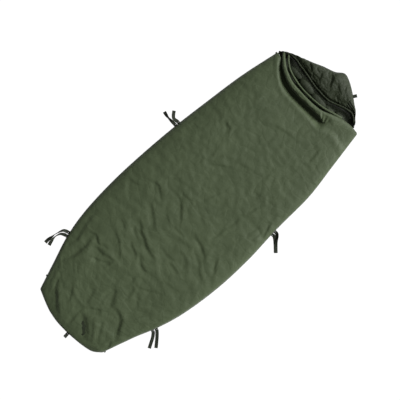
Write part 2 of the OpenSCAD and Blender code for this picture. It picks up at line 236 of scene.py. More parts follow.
def settle(piece, hold, slack, frames, cap, bending=0.4):
    """Simulates a sheet as cloth cut larger than its place by slack, so that it buckles into wrinkles
    of up to about cap. hold, from 0 to 1 a point, is how firmly the padding or a seam keeps it."""
    group = piece.vertex_groups.new(name="hold")
    levels = np.round(hold * 50) / 50
    for level in np.unique(levels):
        group.add(np.flatnonzero(levels == level).tolist(), float(level), "REPLACE")
    before = coordinates(piece)
    cloth = piece.modifiers.new("settle", "CLOTH")
    cloth.point_cache.frame_end = frames
    s = cloth.settings
    s.quality = 6
    s.mass = 0.06
    s.tension_stiffness = s.compression_stiffness = 20
    s.shear_stiffness = 8
    s.bending_stiffness = bending
    s.air_damping = 1.5
    s.vertex_group_mass = "hold"
    s.pin_stiffness = 1
    s.shrink_min = -slack
    s.effector_weights.gravity = 0
    for step in range(1, frames + 1):
        bpy.context.scene.frame_set(step)
    done = piece.evaluated_get(bpy.context.evaluated_depsgraph_get())
    moved = coordinates(done) - before
    piece.modifiers.clear()
    bpy.context.scene.frame_set(1)
    far = np.linalg.norm(moved, axis=1, keepdims=True)
    moved *= np.minimum(1, cap * np.tanh(far / cap) / np.maximum(far, 1e-9))
    place_points(piece, before + moved)


# ---- materials ----

def connect(tree, made, values):
    """Sets a shader node's properties and inputs; an output among the values is linked."""
    for name, value in values.items():
        if isinstance(value, bpy.types.NodeSocket):
            tree.links.new(value, made.inputs[name])
        elif isinstance(name, str) and hasattr(made, name):
            setattr(made, name, value)
        else:
            made.inputs[name].default_value = value
    return made


def node(tree, kind, values=(), **more):
    return connect(tree, tree.nodes.new("ShaderNode" + kind), {**dict(values), **more})


def texture(tree, where, **values):
    return node(tree, "TexNoise", Vector=where, **values)


def shades(tree, source, low, dark, high, light):
    """Colours from dark, where source is low, to light."""
    ramp = node(tree, "ValToRGB", Fac=source)
    for stop, place, colour in zip(ramp.color_ramp.elements, (low, high), (dark, light)):
        stop.position = place
        stop.color = (*colour, 1)
    return ramp.outputs["Color"]


def spread(tree, source, middle, reach):
    """Values within reach of middle."""
    ends = {"To Min": middle - reach, "To Max": middle + reach}
    return node(tree, "MapRange", ends, Value=source).outputs["Result"]


def new_material(name):
    """A material, its node tree, its shader and the place on the object."""
    material = bpy.data.materials.new(name)
    material.use_nodes = True
    tree = material.node_tree
    return material, tree, tree.nodes["Principled BSDF"], node(tree, "TexCoord").outputs["Object"]


def cloth_material(name, dark, light, pitch, weave, crinkle, roughness=0.62, sheen=0.12):
    """Woven cloth: threads pitch apart, fine crinkles, and patches between two shades."""
    material, tree, shader, where = new_material(name)
    patches = texture(tree, where, Scale=7.0, Detail=5.0, Roughness=0.6)
    fibres = texture(tree, where, Scale=160.0, Detail=3.0).outputs["Fac"]
    mixed = node(tree, "Mix", {2: patches.outputs["Fac"], 3: fibres}, data_type="FLOAT", Factor=0.35)
    threads = [node(tree, "TexWave", Vector=where, wave_type="BANDS", bands_direction=direction,
                    Scale=0.314 / pitch, Distortion=0.4).outputs["Fac"] for direction in ("X", "Y")]
    woven = node(tree, "Math", dict(enumerate(threads)), operation="MAXIMUM")
    fine = texture(tree, where, Scale=38.0, Detail=4.0, Roughness=0.62, Distortion=0.6)
    wander = texture(tree, where, Scale=6.0, Detail=2.0)
    moved = node(tree, "VectorMath", {0: wander.outputs["Color"], 1: (0.10, 0.10, 0.0), 2: where},
                 operation="MULTIPLY_ADD")
    folds = node(tree, "TexVoronoi", feature="DISTANCE_TO_EDGE", Scale=15.0, Vector=moved.outputs[0])
    crease = node(tree, "MapRange", {"From Max": 0.11}, Value=folds.outputs["Distance"])
    normal = node(tree, "Bump", Strength=crinkle, Distance=0.0016, Height=crease.outputs["Result"])
    normal = node(tree, "Bump", Strength=weave, Distance=pitch * 0.4, Height=woven.outputs[0],
                  Normal=normal.outputs["Normal"])
    normal = node(tree, "Bump", Strength=crinkle, Distance=0.004, Height=fine.outputs["Fac"],
                  Normal=normal.outputs["Normal"])
    connect(tree, shader, {"Base Color": shades(tree, mixed.outputs[0], 0.32, dark, 0.68, light),
                           "Roughness": spread(tree, fibres, roughness, 0.07),
                           "Sheen Weight": sheen, "Sheen Roughness": 0.45,
                           "Specular IOR Level": 0.35, "Normal": normal.outputs["Normal"]})
    return material


def hard_material(name, dark, light, roughness, metallic=0.0, grain=220.0, bump=0.15):
    """Metal, plastic or thread, whose finish varies a little from place to place."""
    material, tree, shader, where = new_material(name)
    specks = texture(tree, where, Scale=grain, Detail=4.0, Roughness=0.6).outputs["Fac"]
    dent = node(tree, "Bump", Strength=bump, Distance=0.0003, Height=specks)
    connect(tree, shader, {"Base Color": shades(tree, specks, 0.35, dark, 0.7, light),
                           "Roughness": spread(tree, specks, roughness, 0.1),
                           "Metallic": metallic, "Normal": dent.outputs["Normal"]})
    return material


SHELL = cloth_material("shell_nylon", (0.050, 0.070, 0.031), (0.066, 0.090, 0.042), 0.0012, 0.25, 0.26)
# Painted shade: the hood's nylon is the shell nylon made far darker, standing for the shade the hood lies
# in
HOOD_PAINTED_SHADE = cloth_material("hood_nylon", (0.014, 0.021, 0.007), (0.020, 0.029, 0.010),
                      0.0012, 0.25, 0.35, 0.66, 0.04)
GROUND = cloth_material("ground_nylon", (0.036, 0.050, 0.025), (0.050, 0.066, 0.035),
                        0.0012, 0.3, 0.25, 0.5)
# Painted shade: the lining is darkened far below its own olive, standing for the deep shade in the mouth's
# holes
LINING_PAINTED_SHADE = cloth_material("lining_nylon", (0.016, 0.023, 0.010), (0.024, 0.033, 0.015),
                        0.0010, 0.2, 0.4, 0.66, 0.04)
BINDING = cloth_material("seam_tape", (0.022, 0.029, 0.015), (0.036, 0.046, 0.024),
                         0.0016, 0.5, 0.2, 0.7, 0.05)
TAPE = cloth_material("tie_tape", (0.012, 0.017, 0.009), (0.022, 0.029, 0.015),
                      0.0018, 0.7, 0.15, 0.75, 0.05)
ZIP_CLOTH = cloth_material("zip_cloth", (0.014, 0.018, 0.010), (0.024, 0.030, 0.017),
                           0.0010, 0.5, 0.1, 0.7, 0.05)
THREAD = hard_material("stitching", (0.030, 0.038, 0.020), (0.055, 0.068, 0.038), 0.7)
TEETH = hard_material("zip_teeth", (0.008, 0.009, 0.007), (0.016, 0.018, 0.013), 0.4)
METAL = hard_material("zip_metal", (0.020, 0.021, 0.018), (0.040, 0.042, 0.036), 0.38, 0.3, 90.0, 0.25)
ELASTIC = hard_material("elastic", (0.010, 0.010, 0.009), (0.028, 0.028, 0.026), 0.8, 0.0, 400.0, 0.5)


# ---- studio ----

def aim(thing, target):
    thing.rotation_euler = (thing.location - target).to_track_quat("Z", "Y").to_euler()


def studio():
    """Plain pale floor, a low soft sun from the sack's right and head side, and the camera overhead."""
    scene = bpy.context.scene
    camera = bpy.data.objects.new("camera", bpy.data.cameras.new("camera"))
    camera.data.lens = 85
    camera.location = (-0.009, 0.034, 5.70)
    camera.rotation_euler = (0, 0, math.radians(46.4))
    scene.collection.objects.link(camera)
    scene.camera = camera
    scene.view_settings.view_transform = "Standard"

    corners = [(9 * x, 9 * y, -0.0006) for x, y in ((-1, -1), (1, -1), (1, 1), (-1, 1))]
    floor = new_piece("floor", corners, [(0, 1, 2, 3)])
    pale, tree, shader, _ = new_material("floor")
    connect(tree, shader, {"Base Color": (0.05, 0.05, 0.05, 1), "Roughness": 0.8, "Specular IOR Level": 0.1,
                           "Emission Color": (1, 1, 1, 1), "Emission Strength": 1.0})
    floor.data.materials.append(pale)

    world = bpy.data.worlds.new("studio")
    scene.world = world
    world.use_nodes = True
    grey = world.node_tree.nodes["Background"]
    connect(world.node_tree, grey, {"Color": (1, 1, 1, 1), "Strength": 0.08})

    key = bpy.data.lights.new("key", "SUN")
    key.energy = 4.9
    key.angle = 0.65
    side = bpy.data.lights.new("side", "AREA")
    side.shape = "DISK"
    side.size = 1.2
    side.energy = 5
    for light, place in ((key, (3.4, 4.8, 3.9)), (side, (2.2, 0.3, 2.0))):
        lamp = bpy.data.objects.new(light.name, light)
        lamp.location = place
        scene.collection.objects.link(lamp)
        aim(lamp, Vector((0, 0, 0)))


studio()


# ---- the chest and leg panel ----

def arch(u):
    return np.sqrt(np.maximum(0, 1 - np.abs(2 * u - 1) ** lerp(2.8, 9.0, ease(u))))


def panel_place(u, v):
    """Place in x, y on the chest and leg panel: u from left to right, v from foot to head."""
    u, v = np.asarray(u, float), np.asarray(v, float)
    sides = lerp(curve(LEFT_SIDE, v), curve(RIGHT_SIDE, v), u[..., None])
    ends = lerp(curve(FOOT_EDGE, u), curve(TUCKED_EDGE, u), v[..., None])
    return sides + ends - lerp(across(FOOT_EDGE, u), across(TUCKED_EDGE, u), v[..., None])


def groove_depth(x, y):
    """How far the panel sinks at the foot side of the collar, and under it."""
    past = y - line_y(GROOVE, x)
    narrow = ease((x - 0.13) / 0.06)
    width = lerp(0.019, 0.014, narrow)
    depth = lerp(0.030, 0.008, narrow) * ease((x + 0.34) / 0.12)
    swell = 0.0022 * np.exp(-((past + 0.040) / 0.020) ** 2)
    return depth * np.where(past < 0, np.exp(-np.abs(past / width) ** 2.2), 1) - swell


def panel_z(u, v, x, y):
    rise = np.where(v < 0.1, np.sqrt(np.maximum(0, 1 - (1 - v / 0.1) ** 2)), 1)
    edge = EDGE_Z + ZIP_RISE * ease((v - ZIP_START_V + 0.06) / 0.06) * ease(4 * u - 3)
    loft = lerp(FOOT_LOFT, CHEST_LOFT, ease(v * 1.3)) - MOUTH_DIP * ease((y - 0.70) / 0.18)
    return np.maximum(lerp(edge, loft, arch(u) * rise) - groove_depth(x, y) * arch(u), edge)


# Creases in the panel: points, half width, depth and lip
PANEL_CREASES = [
    ([(0, -0.93), (0.045, -0.962), (0.09, -1), (0.14, -1.05)], 0.022, 0.017, 0.45),
    ([(-0.215, -0.96), (-0.15, -1.018), (-0.09, -1.056)], 0.014, 0.013, 0.5),
    ([(0.1, -0.775), (0.18, -0.802), (0.222, -0.858), (0.262, -0.922)], 0.013, 0.013, 0.5),
    ([(0.005, -0.8), (0.01, -0.735), (0.035, -0.705), (0.07, -0.755), (0.095, -0.825)], 0.013, 0.009, 0.5),
    ([(0.238, -0.925), (0.25, -0.965), (0.262, -1.005)], 0.01, 0.007, 0.4),
    ([(-0.3, -0.56), (-0.284, -0.66), (-0.29, -0.74), (-0.322, -0.82)], 0.014, 0.013, 0.5),
    ([(-0.265, -0.645), (-0.22, -0.614), (-0.15, -0.602), (-0.098, -0.588)], 0.011, 0.012, 0.5),
    ([(-0.205, -0.662), (-0.155, -0.645), (-0.11, -0.618)], 0.009, 0.008, 0.4),
    ([(-0.33, -0.585), (-0.285, -0.562), (-0.24, -0.59), (-0.205, -0.572), (-0.165, -0.57)],
     0.01, 0.01, 0.5),
    ([(-0.092, -0.68), (-0.09, -0.63), (-0.08, -0.59)], 0.009, 0.005, 0.4),
    ([(-0.02, -0.91), (-0.024, -0.98), (-0.016, -1.045)], 0.012, 0.006, 0.4),
    ([(-0.175, -0.475), (-0.13, -0.52), (-0.085, -0.56)], 0.008, 0.006, 0.5),
    ([(-0.02, -0.445), (0.025, -0.478), (0.075, -0.496), (0.11, -0.478)], 0.009, 0.006, 0.5),
    ([(0.1, -0.61), (0.108, -0.65), (0.116, -0.69)], 0.009, 0.006, 0.4),
    ([(0.058, -0.54), (0.064, -0.59), (0.07, -0.64)], 0.008, 0.005, 0.4),
    ([(0.1, -0.61), (0.16, -0.57), (0.205, -0.54), (0.255, -0.52)], 0.009, 0.005, 0.4),
    ([(0.275, -0.655), (0.225, -0.745), (0.18, -0.8)], 0.009, 0.006, 0.5),
    ([(0.29, -0.59), (0.24, -0.64), (0.19, -0.67)], 0.008, 0.004, 0.5),
    ([(0.115, -0.885), (0.15, -0.94), (0.205, -1.005)], 0.009, 0.005, 0.6),
    ([(-0.01, -0.905), (0.048, -0.858), (0.075, -0.885)], 0.009, 0.005, 0.5),
    ([(-0.38, -0.45), (-0.384, -0.52), (-0.37, -0.59)], 0.012, 0.006, 0.4),
    ([(-0.19, -0.3), (-0.11, -0.348), (-0.02, -0.39), (0.08, -0.412)], 0.011, 0.01, 0.6),
    ([(-0.172, -0.352), (-0.13, -0.378), (-0.08, -0.402)], 0.008, 0.006, 0.5),
    ([(-0.255, -0.38), (-0.215, -0.4), (-0.18, -0.43)], 0.008, 0.004, 0.5),
    ([(-0.3, -0.1), (-0.245, -0.086), (-0.2, -0.104), (-0.165, -0.142)], 0.01, 0.009, 0.5),
    ([(-0.395, -0.192), (-0.34, -0.172), (-0.28, -0.132)], 0.009, 0.006, 0.5),
    ([(-0.19, -0.01), (-0.11, -0.016), (-0.03, -0.016), (-0.005, -0.06)], 0.008, 0.004, 0.5),
    ([(-0.155, -0.028), (-0.06, -0.068), (-0.005, -0.125), (0.035, -0.178)], 0.009, 0.007, 0.5),
    ([(0, -0.186), (0.04, -0.192), (0.078, -0.186)], 0.008, 0.005, 0.4),
    ([(0.108, -0.13), (0.195, -0.152), (0.25, -0.175), (0.292, -0.21)], 0.009, 0.007, 0.5),
    ([(0.175, -0.198), (0.25, -0.224), (0.3, -0.26), (0.355, -0.295)], 0.009, 0.006, 0.5),
    ([(0.305, -0.125), (0.345, -0.175), (0.395, -0.24)], 0.008, 0.005, 0.5),
    ([(-0.11, -0.165), (-0.05, -0.186), (0.005, -0.214)], 0.008, 0.005, 0.4),
    ([(-0.205, -0.17), (-0.13, -0.236), (-0.055, -0.284)], 0.008, 0.004, 0.5),
    ([(0.02, -0.33), (0.09, -0.334), (0.16, -0.33)], 0.008, 0.004, 0.4),
    ([(0.11, -0.358), (0.17, -0.362), (0.225, -0.372)], 0.008, 0.004, 0.4),
    ([(0.06, 0.19), (0.03, 0.11), (0.008, 0.02)], 0.008, 0.004, 0.5),
    ([(0.242, 0.13), (0.232, 0.06), (0.216, -0.01), (0.216, -0.08)], 0.009, 0.005, 0.5),
    ([(0.165, 0.13), (0.14, 0.07), (0.105, 0.02)], 0.008, 0.004, 0.5),
    ([(-0.13, 0.212), (-0.075, 0.258), (-0.012, 0.318)], 0.009, 0.006, 0.5),
    ([(0.378, 0.245), (0.396, 0.195), (0.43, 0.14)], 0.01, 0.009, 0.5),
    ([(0.362, 0.18), (0.35, 0.14), (0.338, 0.1)], 0.007, 0.004, 0.5),
    ([(0.38, 0.175), (0.384, 0.135), (0.378, 0.095)], 0.007, 0.004, 0.5),
    ([(0.29, 0.3), (0.268, 0.25), (0.25, 0.17)], 0.008, 0.005, 0.5),
    ([(0.33, 0.33), (0.285, 0.31), (0.255, 0.345)], 0.008, 0.004, 0.5),
    ([(-0.262, 0.47), (-0.23, 0.464), (-0.19, 0.466)], 0.009, 0.007, 0.4),
    ([(-0.01, 0.356), (0.03, 0.36), (0.065, 0.372)], 0.008, 0.004, 0.4),
    ([(0.17, 0.3), (0.195, 0.306), (0.218, 0.312)], 0.008, 0.004, 0.4),
    ([(-0.158, 0.33), (-0.156, 0.29), (-0.152, 0.24)], 0.008, 0.003, 0.5),
    ([(-0.312, 0.18), (-0.32, 0.14), (-0.336, 0.095)], 0.008, 0.004, 0.5),
    ([(-0.245, -0.03), (-0.215, 0.005), (-0.185, 0.045)], 0.009, 0.004, 0.5),
    ([(-0.196, 0.6), (-0.178, 0.64), (-0.158, 0.69)], 0.009, 0.004, 0.5),
    ([(-0.08, 0.61), (-0.03, 0.655), (0.03, 0.682), (0.11, 0.69), (0.195, 0.712)], 0.01, 0.004, 0.5),
    ([(0.262, 0.765), (0.272, 0.71), (0.286, 0.655)], 0.009, 0.005, 0.5),
    ([(0.264, 0.6), (0.262, 0.56), (0.25, 0.51)], 0.008, 0.003, 0.5),
    ([(0.13, 0.72), (0.165, 0.765), (0.21, 0.8)], 0.009, 0.003, 0.5),
    ([(-0.19, 0.7), (-0.186, 0.75), (-0.172, 0.78)], 0.009, 0.003, 0.5),
    ([(-0.18, -0.84), (-0.135, -0.905), (-0.1, -0.985)], 0.011, 0.006, 0.5),
    ([(-0.255, -0.9), (-0.225, -0.95), (-0.185, -1)], 0.012, 0.006, 0.5),
    ([(-0.06, -0.77), (-0.04, -0.84), (-0.03, -0.9)], 0.01, 0.005, 0.4),
    ([(0.06, -0.905), (0.105, -0.96), (0.16, -1.03)], 0.01, 0.007, 0.5),
    ([(-0.375, -0.56), (-0.352, -0.65), (-0.36, -0.74)], 0.014, 0.008, 0.4),
    ([(-0.24, -0.44), (-0.19, -0.48), (-0.15, -0.5)], 0.01, 0.006, 0.4),
    ([(0.15, -0.62), (0.19, -0.68), (0.2, -0.74)], 0.01, 0.005, 0.4),
    ([(-0.12, -0.44), (-0.06, -0.462), (-0.01, -0.5)], 0.009, 0.006, 0.5),
    ([(0.13, -0.255), (0.19, -0.275), (0.26, -0.32)], 0.009, 0.005, 0.5),
    ([(0.16, 0.48), (0.172, 0.42), (0.168, 0.36)], 0.009, 0.004, 0.4),
    ([(-0.06, 0.56), (-0.01, 0.53), (0.06, 0.525)], 0.009, 0.003, 0.4),
]


def sack_top():
    """The outer cloth over the legs and chest, wrinkled over its thin filling."""
    uu, vv = np.meshgrid(np.linspace(0.005, 0.995, 74), np.linspace(0.003, 1, 168))
    place = panel_place(uu, vv)
    x, y = place[..., 0], place[..., 1]
    z = panel_z(uu, vv, x, y)
    inside = np.minimum(1, 9 * np.minimum(uu, 1 - uu))
    inside = inside * np.minimum(1, 16 * vv) * np.minimum(1, 12 * (1 - vv))
    z = z + inside * (0.0018 * noise(x, y, 0.16, 1) + 0.0004 * noise(x, y, 0.06, 2))
    piece = sheet_piece("top_panel", x, y, z, material=SHELL, replaces=("top_shell", "top_wadding"))
    border = (uu < 0.02) | (uu > 0.98) | (vv < 0.008) | (vv > 0.985)
    hold = np.where(border, 1, 0.14 + 0.10 * ease((vv - 0.3) / 0.5)).ravel()
    settle(piece, hold, 0.008, 20, 0.0016, 0.15)
    subdivide(piece)
    points = coordinates(piece)
    x, y, z = points.T
    z += CREASE_SHARE * creased(x, y, PANEL_CREASES) * ease((z - EDGE_Z) / 0.022)
    z += 0.0007 * (ridges(x + 0.5 * y, y - 0.4 * x, 0.11, 3) - 0.7) * ease((z - EDGE_Z) / 0.022)
    place_points(piece, points)
    thicken(piece, SHELL_T)
    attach(piece, "sack")


# ---- seam tapes and their stitches ----

def directions(path):
    """Unit vectors along a path, level to its right, and square to both."""
    along = np.gradient(path, axis=0)
    along /= np.linalg.norm(along, axis=1, keepdims=True)
    side = np.cross(along, (0, 0, 1))
    side /= np.maximum(np.linalg.norm(side, axis=1, keepdims=True), 1e-9)
    return along, side, np.cross(side, along)


def swept(path, section, roll=0.0):
    """Rings of a section, as (right, up) points, along a path; roll turns each ring."""
    _, side, up = directions(path)
    turn = np.broadcast_to(roll, len(path))[:, None]
    right, top = side * np.cos(turn) + up * np.sin(turn), up * np.cos(turn) - side * np.sin(turn)
    section = np.broadcast_to(section, (len(path),) + section.shape[-2:])
    return path[:, None] + right[:, None] * section[..., :1] + top[:, None] * section[..., 1:]


def tube_faces(rings, sides):
    last = (rings - 1) * sides
    ends = [list(range(sides))[::-1], [last + k for k in range(sides)]]
    return grid_faces(rings, sides, closed=True).tolist() + ends


def tube_piece(name, rings, lowest=None, **options):
    """A closed tube through rings of points, kept above a lowest height."""
    if lowest is not None:
        rings[..., 2] = np.maximum(rings[..., 2], lowest)
    piece = new_piece(name, rings.reshape(-1, 3), tube_faces(*rings.shape[:2]), **options)
    outward(piece)
    return piece


def outward(piece):
    """Turns every face outward."""
    mesh = bmesh.new()
    mesh.from_mesh(piece.data)
    bmesh.ops.recalc_face_normals(mesh, faces=mesh.faces)
    mesh.to_mesh(piece.data)
    mesh.free()


def angles(sides):
    return np.linspace(0, 2 * math.pi, sides, endpoint=False)


def oval(half_width, half_height, sides, power=2.0):
    """Points round an oval, which grows squarer with power; sizes may vary along a path."""
    a = angles(sides)
    c, s = (np.sign(f) * np.abs(f) ** (2 / power) for f in (np.cos(a), np.sin(a)))
    w, h = np.atleast_1d(half_width)[:, None], np.atleast_1d(half_height)[:, None]
    return np.stack([w * c, h * s], -1)


def spaced(path, step):
    """The path again, with points step apart."""
    path = np.asarray(path, float)
    run = np.concatenate([[0], np.cumsum(np.linalg.norm(np.diff(path[:, :3], axis=0), axis=1))])
    at = np.linspace(0, run[-1], max(3, int(round(run[-1] / step)) + 1))
    return np.stack([np.interp(at, run, path[:, k]) for k in range(path.shape[1])], -1)


def waver(run, size, seed):
    """Noise along a path, at lengths of run from its start."""
    return noise(run, 0 * run, size, seed)


def on_height(points, z):
    points = np.asarray(points, float)
    return np.column_stack([points[:, :2], np.broadcast_to(z, len(points))])


def beside(path, distance):
    """A path moved level to its right."""
    return path + directions(path)[1] * distance


def bend_at_neck(piece):
    """Bakes the piece's placement into its points."""
    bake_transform(piece)


def stitches(name, path, body, pitch=0.0045, length=0.0032, thick=0.0004):
    """A row of thread stitches along a path that lies on the cloth."""
    path = spaced(path, pitch)
    along, side, up = directions(path)
    sides, rings = 6, 4
    s = np.linspace(-0.5, 0.5, rings)
    rise = np.cos(s * math.pi) * thick * 0.9
    fat = thick * np.array([0.5, 1, 1, 0.5])
    a = angles(sides)
    tilt = 0.12 * np.random.default_rng(len(path)).standard_normal(len(path))
    lead = along + side * tilt[:, None]
    centre = path[:, None] + lead[:, None] * (s * length)[:, None] + up[:, None] * rise[:, None]
    ring = side[:, None, None] * np.cos(a)[:, None] + up[:, None, None] * np.sin(a)[:, None]
    points = centre[:, :, None] + ring * fat[None, :, None, None]
    one = tube_faces(rings, sides)
    faces = [[k * rings * sides + i for i in f] for k in range(len(path)) for f in one]
    return new_piece(name, points.reshape(-1, 3), faces, body=body, material=THREAD)


def edge_tape(name, outline, start, end, body, node_name):
    """A folded seam tape round the edge of the sack, slightly puckered by its stitching."""
    path = on_height(curve(outline, np.linspace(start, end, 400)), SEAM_Z)
    path = beside(spaced(path, 0.005), -0.0036)
    x, y = path[:, 0], path[:, 1]
    pucker = 1 + 0.07 * noise(x, y, 0.012, 21) + 0.05 * noise(x, y, 0.05, 22)
    section = oval(SEAM_HALF_W * pucker, SEAM_HALF_H * (1 + 0.10 * noise(x, y, 0.014, 23)), 14, 2.6)
    tube_piece(name, swept(path, section), LOWEST, body=body, material=BINDING, replaces=(node_name,))
    seam = beside(path, -0.0016)
    seam[:, 2] = SEAM_Z + 0.0031
    stitches(f"{name}_stitches", seam, body)


def backwards(points):
    return list(reversed(points))


def seam_tapes():
    """The tapes run anticlockwise, so that the sack is on their left."""
    edge_tape("left_tape", backwards(LEFT_SIDE), 0.0, 0.996, "sack", "left_binding")
    edge_tape("foot_tape", FOOT_EDGE, 0.004, 0.996, "sack", "foot_binding")
    edge_tape("right_tape", RIGHT_SIDE, 0.004, 0.755, "sack", "right_binding")
    edge_tape("hood_tape", backwards(HOOD_EDGE), 0.0, 1.0, "hood", "hood_binding")


def bar_tack(name, place, heading, **options):
    """A dense zigzag of thread over a seam's end."""
    count = 26
    t = np.arange(count)
    local = np.column_stack([(t / (count - 1) - 0.5) * 0.011, np.where(t % 2, 0.0042, -0.0042),
                             np.full(count, 0.0068)])
    path = spaced(placed(local, (place, heading)), 0.0014)
    drop = np.abs(np.linspace(-1, 1, len(path))) ** 4
    path[:, 2] -= 0.0022 * drop
    tube_piece(name, swept(path, oval(0.00055, 0.00055, 6)), body="sack", material=THREAD, **options)


def bar_tacks():
    bar_tack("left_mouth_tack", (-0.3345, 0.9790), 80, replaces=("bar_tacks",))
    bar_tack("left_foot_tack", (-0.3165, -0.9480), 110)
    bar_tack("right_foot_tack", (0.2575, -1.0120), 70)


# ---- flat layers underneath, and the linings ----

NECK = [(-0.332, 0.985), (0.320, 0.985)]
GROUND_RIGHT = RIGHT_SIDE[:-1] + [(0.334, 0.985)]


def ground_place(u, v):
    """Place in x, y on the underside of the body."""
    sides = lerp(curve(LEFT_SIDE, v), curve(GROUND_RIGHT, v), u[..., None])
    return sides + (curve(FOOT_EDGE, u) - across(FOOT_EDGE, u)) * (1 - v[..., None])


def hood_place(u, v):
    """Place in x, y under the hood, from the neck to its outer edge."""
    return lerp(across(NECK, u), curve(HOOD_EDGE, u), v[..., None])


def flat_cloth(name, place, rows, cols, v_end, **options):
    """A coated cloth lying flat, with the slight waves of cloth that has been rolled up."""
    uu, vv = np.meshgrid(np.linspace(0.008, 0.992, cols), np.linspace(0.006, v_end, rows))
    at = place(uu, vv)
    x, y = at[..., 0], at[..., 1]
    wave = 0.0005 * (1 + noise(x, y, 0.11, 31)) + 0.0004 * ridges(x, y, 0.05, 32)
    z = 0.0012 + wave * ease(6 * (1 - np.abs(2 * uu - 1)))
    piece = sheet_piece(name, x, y, z, **options)
    thicken(piece, GROUND_T)
    return piece


def ground_cloths():
    sack = flat_cloth("ground_panel", ground_place, 150, 66, 0.999, material=GROUND,
                      replaces=("ground_sheet",), body="sack")
    hood = flat_cloth("hood_back_panel", hood_place, 30, 60, 0.985, material=GROUND,
                      replaces=("hood_back",), body="hood")


# Puffs of the lining that show in the mouth: centre, half sizes, height
LINING_PUFFS = [((-0.164, 0.98), (0.052, 0.022), 0.02), ((-0.062, 0.97), (0.06, 0.029), 0.032),
                ((0.046, 0.962), (0.06, 0.025), 0.029), ((0.134, 0.966), (0.036, 0.022), 0.02),
                ((0.206, 0.992), (0.036, 0.014), 0.012), ((-0.11, 1.045), (0.07, 0.03), 0.006),
                ((0.06, 1.05), (0.08, 0.036), 0.007)]


def lining_top(x, y):
    """Height of the padded lining that the sleeper lies on."""
    puffs = np.zeros_like(x)
    for (cx, cy), (rx, ry), height in LINING_PUFFS:
        inside = 1 - np.abs((x - cx) / rx) ** 2.5 - np.abs((y - cy) / ry) ** 2.5
        puffs = np.maximum(puffs, height * np.maximum(0, inside) ** 0.4)
    soft = 0.0009 * noise(x, y, 0.12, 41) + 0.0008 * ridges(x, y, 0.04, 42) * (1 + 40 * puffs)
    return 0.0088 + soft + puffs


def floor_lining():
    """The padded lining underneath, in one run from foot to hood."""
    cols = 120
    u = np.linspace(0.034, 0.966, cols)
    v_sack = np.concatenate([np.linspace(0.014, 0.93, 110), np.linspace(0.934, 0.998, 34)])
    v_hood = np.linspace(0.01, 0.84, 40)
    uu, vv = np.meshgrid(u, v_sack)
    sack = ground_place(uu, vv)
    uh, vh = np.meshgrid(u, v_hood)
    at = np.concatenate([sack, hood_place(uh, vh)])
    x, y = at[..., 0], at[..., 1]
    rows = len(x)
    edge = np.ones_like(x)
    edge[:3], edge[-3:], edge[:, :2], edge[:, -2:] = 0.7, 0.7, 0.7, 0.7
    edge[0], edge[-1], edge[:, 0], edge[:, -1] = 0.35, 0.35, 0.35, 0.35
    top = np.stack([x, y, 0.0022 + (lining_top(x, y) - 0.0022) * edge], -1).reshape(-1, 3)
    low = np.stack([x, y, np.full_like(x, 0.0021)], -1).reshape(-1, 3)
    count = rows * cols
    face = grid_faces(rows, cols)
    index = np.arange(count).reshape(rows, cols)
    rim = np.concatenate([index[0], index[1:, -1], index[-1, -2::-1], index[-2:0:-1, 0]])
    after = np.roll(rim, -1)
    walls = np.stack([rim + count, after + count, after, rim], -1)
    # the lining's dark colour is painted shade
    piece = new_piece("floor_lining", np.concatenate([top, low]),
                      np.concatenate([face, face[:, ::-1] + count, walls]), material=LINING_PAINTED_SHADE,
                      replaces=("bottom_lining", "bottom_wadding", "hood_back_lining",
                                "hood_back_wadding"))
    outward(piece)
    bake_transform(piece)


def top_lining():
    """The lining cloth under the chest panel's filling."""
    uu, vv = np.meshgrid(np.linspace(0.05, 0.95, 50), np.linspace(0.035, 0.985, 110))
    at = panel_place(uu, vv)
    x, y = at[..., 0], at[..., 1]
    z = np.maximum(panel_z(uu, vv, x, y) - 0.0092 - 0.003 * ridges(x, y, 0.07, 51), 0.0118)
    piece = sheet_piece("chest_lining", x, y, z, material=LINING_PAINTED_SHADE, replaces=("top_lining",), body="sack")
    thicken(piece, LINING_T)


# ---- the collars on the chest side of the mouth ----

# Stations from left to right: x, y, z, half width, half height
CHEST_COLLAR = [(-0.302, 1.009, 0.02, 0.006, 0.008), (-0.276, 0.981, 0.03, 0.009, 0.012),
                (-0.228, 0.942, 0.044, 0.012, 0.016), (-0.146, 0.908, 0.05, 0.014, 0.021),
                (-0.06, 0.901, 0.05, 0.015, 0.022), (0.03, 0.902, 0.05, 0.015, 0.022),
                (0.11, 0.911, 0.047, 0.019, 0.02), (0.18, 0.925, 0.04, 0.036, 0.014),
                (0.246, 0.95, 0.031, 0.038, 0.01), (0.3, 0.967, 0.024, 0.03, 0.008),
                (0.338, 0.977, 0.0185, 0.018, 0.006), (0.355, 0.984, 0.016, 0.009, 0.005)]
DRAFT_COLLAR = [(-0.276, 1.024, 0.024, 0.004, 0.006), (-0.246, 0.991, 0.034, 0.005, 0.01),
                (-0.192, 0.959, 0.034, 0.005, 0.013), (-0.1, 0.939, 0.031, 0.005, 0.014),
                (0, 0.937, 0.031, 0.005, 0.014), (0.1, 0.95, 0.03, 0.006, 0.013),
                (0.18, 0.975, 0.026, 0.006, 0.01), (0.222, 0.99, 0.021, 0.006, 0.007)]
COLLAR_CREASES = [
    ([(0.16, 0.866), (0.142, 0.892), (0.112, 0.918)], 0.005, 0.013, 0.5),
    ([(0.166, 0.866), (0.158, 0.898), (0.138, 0.926)], 0.005, 0.013, 0.5),
    ([(0.174, 0.868), (0.176, 0.9), (0.164, 0.932)], 0.005, 0.011, 0.5),
    ([(0.182, 0.88), (0.22, 0.892), (0.262, 0.905), (0.29, 0.93)], 0.008, 0.005, -0.3),
    ([(0.262, 0.925), (0.275, 0.9), (0.3, 0.89)], 0.006, 0.005, 0.3),
    ([(0.25, 0.96), (0.3, 0.93), (0.345, 0.948)], 0.007, 0.003, 0.3),
    ([(-0.1, 0.905), (-0.06, 0.898), (0, 0.9)], 0.005, 0.002, 0.4),
    ([(-0.02, 0.892), (0.06, 0.896), (0.13, 0.908)], 0.006, 0.003, 0.5),
]


